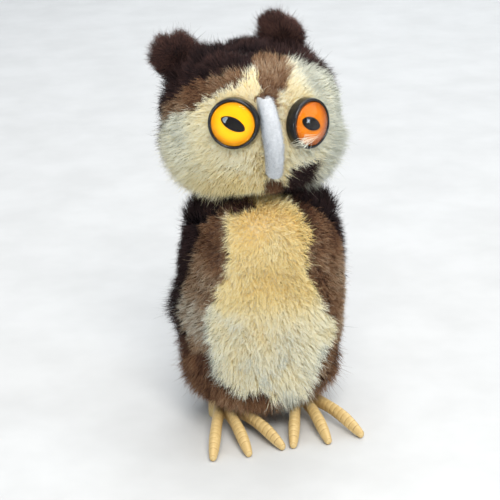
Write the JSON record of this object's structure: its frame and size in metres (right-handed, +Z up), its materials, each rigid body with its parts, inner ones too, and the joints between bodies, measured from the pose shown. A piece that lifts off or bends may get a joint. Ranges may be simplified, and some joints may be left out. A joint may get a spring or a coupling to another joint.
{
  "type": "plush owl figure",
  "caption": "Small standing plush owl in short cream, brown and near-black pile, with a swivel head, amber toy eyes, felt beak and moulded clawed feet.",
  "frame": {"origin": "middle of the footprint, on the surface the feet stand on", "axes": "+Z up; the owl faces -Y; +X is the owl's left"},
  "size_m": [0.0456, 0.0472, 0.1029],
  "materials": {
    "cream_pile": "dense pile",
    "brown_pile": "dense pile",
    "dark_pile": "dense pile",
    "stuffing": "loose fibre packed firm",
    "fibreboard": "pressed board",
    "steel": "bright",
    "black_plastic": "gloss",
    "iris_paint": "painted behind the lens",
    "clear_lens": "clear, gloss",
    "white_felt": "matted wool felt",
    "tan_plastic": "satin moulded"
  },
  "bodies": {
    "owl_body": {"bib_panel": "cream_pile", "side_panel_right": "brown_pile", "side_panel_left": "brown_pile", "back_panel_right": "dark_pile", "back_panel_left": "dark_pile", "base_panel": "dark_pile", "body_stuffing": "stuffing", "neck_disc_body": "fibreboard", "neck_washer_body": "steel", "neck_pin": "steel", "foot_left": "tan_plastic", "foot_right": "tan_plastic", "foot_washer_left": "steel", "foot_washer_right": "steel"},
    "owl_head": {"brow_patch": "brown_pile", "crown_panel": "dark_pile", "face_panel_left": "cream_pile", "face_panel_right": "cream_pile", "head_back_left": "dark_pile", "head_back_right": "dark_pile", "ear_left": "dark_pile", "ear_right": "dark_pile", "beak": "white_felt", "head_stuffing": "stuffing", "neck_disc_head": "fibreboard", "neck_washer_head": "steel", "eye_cup_left": "black_plastic", "eye_iris_left": "iris_paint", "eye_pupil_left": "black_plastic", "eye_lens_left": "clear_lens", "eye_washer_left": "steel", "eye_cup_right": "black_plastic", "eye_iris_right": "iris_paint", "eye_pupil_right": "black_plastic", "eye_lens_right": "clear_lens", "eye_washer_right": "steel"}
  },
  "joints": [
    {"name": "head_swivel", "type": "hinge", "parent": "owl_body", "child": "owl_head", "pos_m": [-0.00065, 0.00257, 0.061], "axis": [0, 0, 1], "continuous": true}
  ]
}
